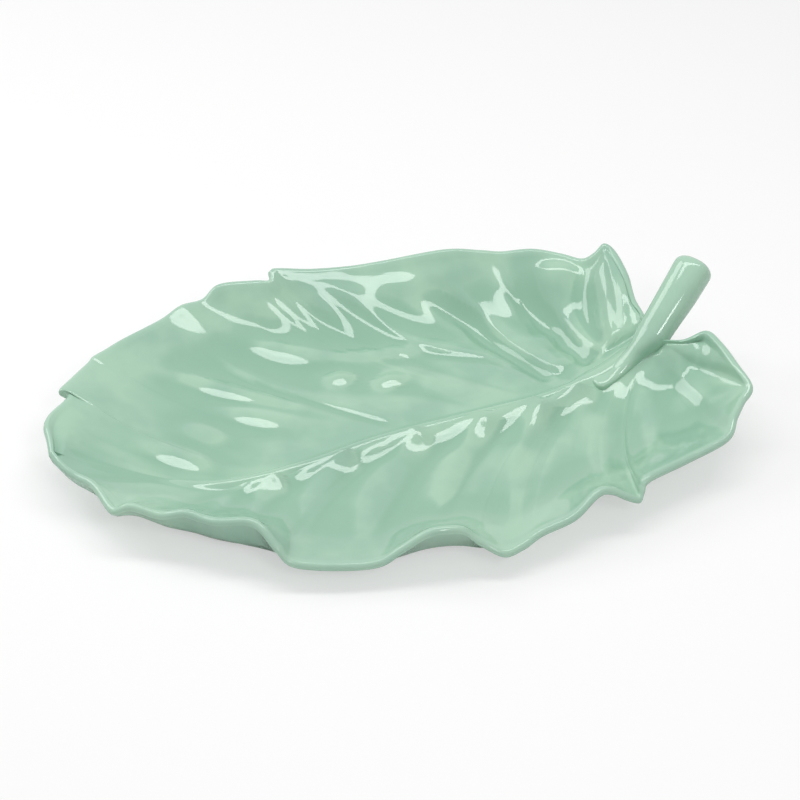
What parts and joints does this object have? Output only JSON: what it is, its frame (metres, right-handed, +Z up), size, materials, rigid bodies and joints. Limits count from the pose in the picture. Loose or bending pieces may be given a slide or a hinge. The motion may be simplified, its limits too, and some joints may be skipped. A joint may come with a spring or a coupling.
{
  "type": "leaf shaped plate",
  "caption": "Dished serving plate in the shape of a veined leaf, with a wavy toothed rim, a raised midrib, a stem handle and a low foot ring.",
  "frame": {"origin": "on the table under the middle of the plate's bounding box", "axes": "+X along the leaf from its tip to the end of its stem, +Y across the leaf to the side with the higher rim, +Z up"},
  "size_m": [0.3588, 0.237, 0.0659],
  "materials": {
    "glaze": "gloss",
    "bare_foot": "matte"
  },
  "bodies": {
    "root": {"leaf_blade": "glaze", "midrib": "glaze", "stem_handle": "glaze", "foot_ring": "bare_foot"}
  },
  "joints": []
}
